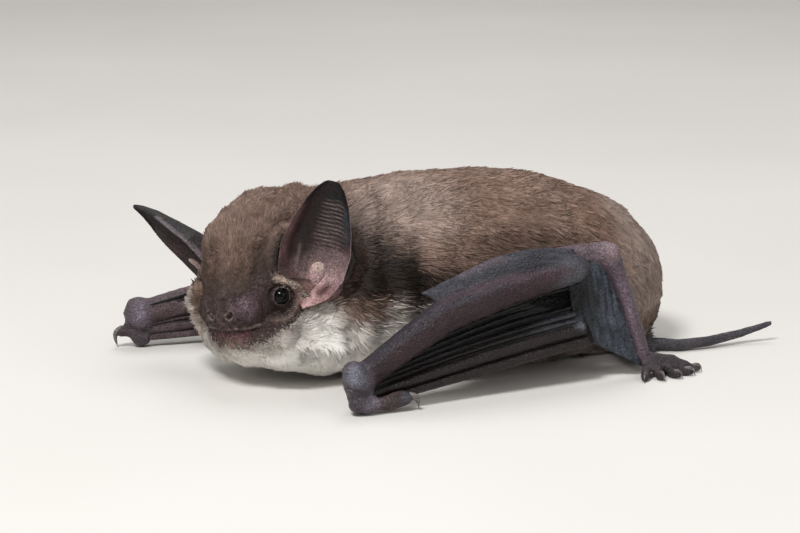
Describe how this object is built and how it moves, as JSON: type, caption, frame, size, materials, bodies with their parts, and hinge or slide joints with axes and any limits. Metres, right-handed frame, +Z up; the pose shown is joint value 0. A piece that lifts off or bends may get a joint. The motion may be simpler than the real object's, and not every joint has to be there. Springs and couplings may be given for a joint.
{
  "type": "wild bat animal",
  "caption": "Life-size still figure of a furred vesper bat lying on its belly, wings folded at its sides, head turned to its left, bare tail behind.",
  "frame": {"origin": "on the floor, at the middle of the flat under the belly", "axes": "-X towards the head, +X towards the tail, -Y towards the animal's left side, +Z up from the floor"},
  "size_m": [0.0958, 0.0538, 0.0315],
  "materials": {
    "fur": "grey-brown coat with paler tips",
    "pale_fur": "greyish white coat of the throat and belly",
    "bare_skin": "bare purple-brown skin of the face and ears",
    "wing_skin": "slate-black wing skin with fine wrinkles",
    "limb_skin": "dark purple-brown skin over the long bones",
    "claw": "grey horn",
    "eye": "glossy black"
  },
  "bodies": {
    "root": {"arm_membrane_left": "wing_skin", "arm_membrane_right": "wing_skin", "ear_left": "bare_skin", "ear_right": "bare_skin", "eye_left": "eye", "eye_right": "eye", "finger_2_left": "limb_skin", "finger_2_right": "limb_skin", "finger_3_left": "limb_skin", "finger_3_right": "limb_skin", "finger_4_left": "limb_skin", "finger_4_right": "limb_skin", "finger_5_left": "limb_skin", "finger_5_right": "limb_skin", "foot_left": "limb_skin", "foot_right": "limb_skin", "forearm_left": "limb_skin", "forearm_right": "limb_skin", "head": "fur", "lower_jaw": "bare_skin", "muzzle": "bare_skin", "neck": "fur", "rump": "fur", "shank_left": "limb_skin", "shank_right": "limb_skin", "side_membrane_left": "wing_skin", "side_membrane_right": "wing_skin", "tail": "limb_skin", "tail_membrane_left": "wing_skin", "tail_membrane_right": "wing_skin", "thigh_left": "limb_skin", "thigh_right": "limb_skin", "throat": "pale_fur", "thumb_claw_left": "claw", "thumb_claw_right": "claw", "thumb_left": "limb_skin", "thumb_right": "limb_skin", "tragus_left": "bare_skin", "tragus_right": "bare_skin", "trunk": "fur", "upper_arm_left": "limb_skin", "upper_arm_right": "limb_skin", "wing_folds_left": "wing_skin", "wing_folds_right": "wing_skin", "wrist_left": "limb_skin", "wrist_right": "limb_skin"}
  },
  "joints": []
}
